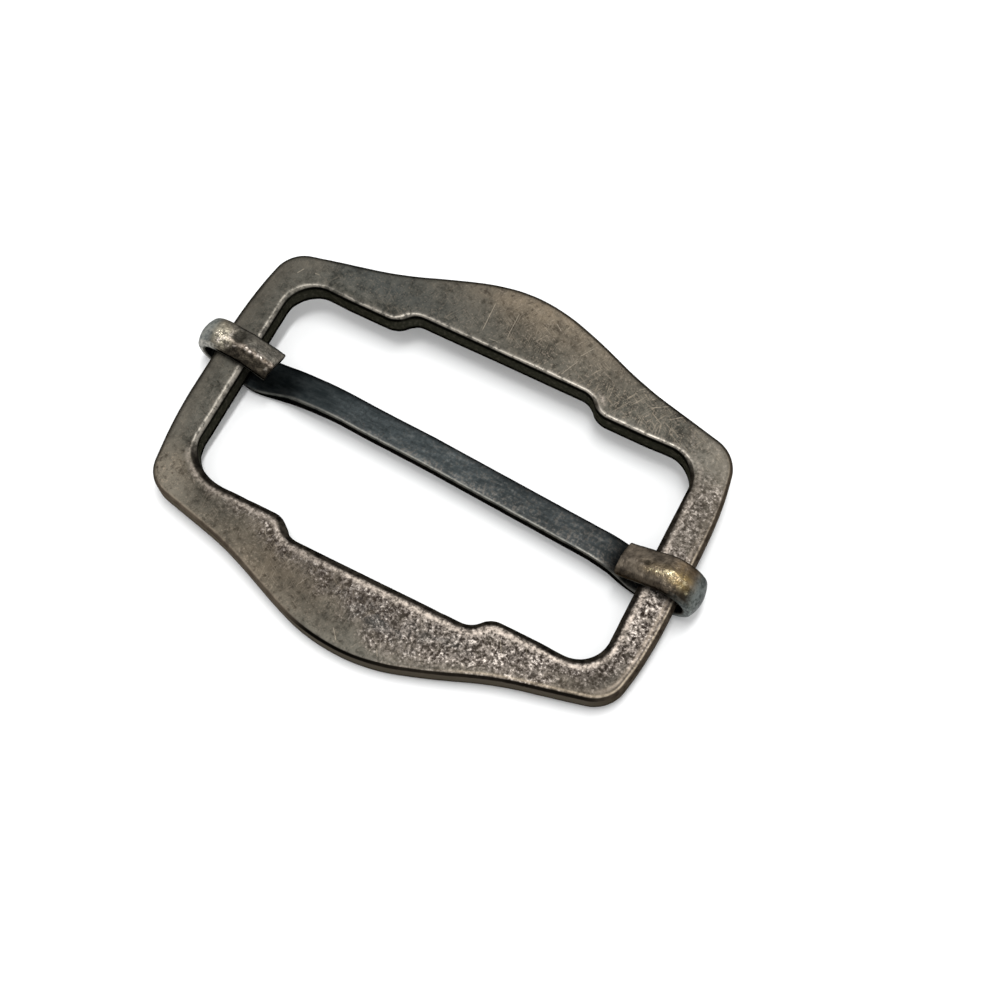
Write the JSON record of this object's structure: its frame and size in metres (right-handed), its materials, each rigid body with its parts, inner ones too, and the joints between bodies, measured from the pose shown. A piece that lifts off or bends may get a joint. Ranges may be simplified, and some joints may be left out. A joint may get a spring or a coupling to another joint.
{
  "type": "strap adjuster",
  "caption": "Flat waisted metal frame with a long rounded opening and a loose bar, curled round the two short rails, that slides across it to grip webbing.",
  "frame": {"origin": "under the middle of the opening, level with the lowest point of the bar's curled ends", "axes": "+X along the opening's length, from the left curl to the right curl; +Y from the near long rail to the far long rail, the way the bar slides; +Z out of the frame's face, up from the surface it lies on"},
  "size_m": [0.0483, 0.035, 0.006],
  "materials": {
    "frame_metal": "antiqued dark grey-brown plating on a die casting, satin, speckled and worn to warm metal at the edges",
    "bar_metal": "antiqued plating on a bent steel strip, near black on the flat, worn to golden metal on the curled ends"
  },
  "bodies": {
    "frame": {"frame": "frame_metal"},
    "slide_bar": {"slide_bar": "bar_metal"}
  },
  "joints": [
    {"name": "bar_slide", "type": "slide", "parent": "frame", "child": "slide_bar", "axis": [0, 1, 0], "range_m": [-0.0069, 0.006]}
  ]
}
